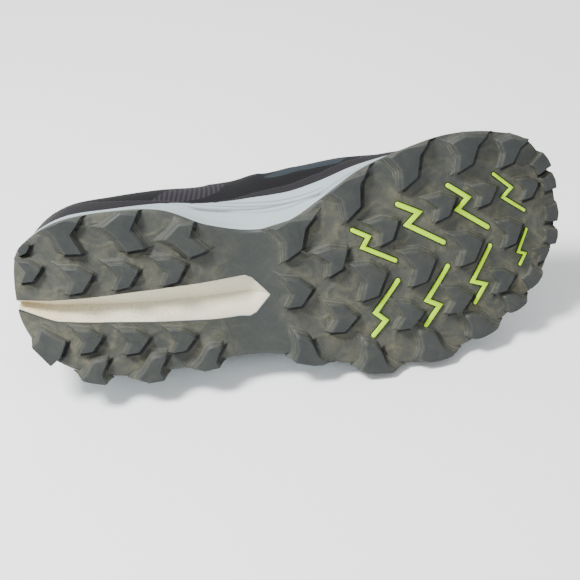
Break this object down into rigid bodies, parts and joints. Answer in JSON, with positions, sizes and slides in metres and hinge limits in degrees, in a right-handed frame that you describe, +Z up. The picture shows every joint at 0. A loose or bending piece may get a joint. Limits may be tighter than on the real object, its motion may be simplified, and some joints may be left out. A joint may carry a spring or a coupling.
{
  "type": "trail running shoe",
  "caption": "Left trail running shoe lying on its lateral side, with a lugged rubber tread, a foam midsole with a heel channel, and a low laced upper open at collar and throat.",
  "frame": {"origin": "middle of the bounding box's bottom, on the floor that the shoe lies on", "axes": "+X from heel to toe, -Y the way that the tread faces, +Z up, towards the shoe's medial side"},
  "size_m": [0.3088, 0.1268, 0.1191],
  "materials": {
    "rubber": "moulded rubber, matt and a little dusty",
    "foam": "moulded closed-cell foam, satin skin",
    "liner": "knitted cover on foam",
    "mesh_upper": "engineered mesh with welded overlays",
    "padding": "padded mesh",
    "lace": "flat woven lace"
  },
  "bodies": {
    "root": {"outsole": "rubber", "midsole": "foam", "insole": "liner", "upper": "mesh_upper", "tongue": "padding", "laces": "lace"}
  },
  "joints": []
}
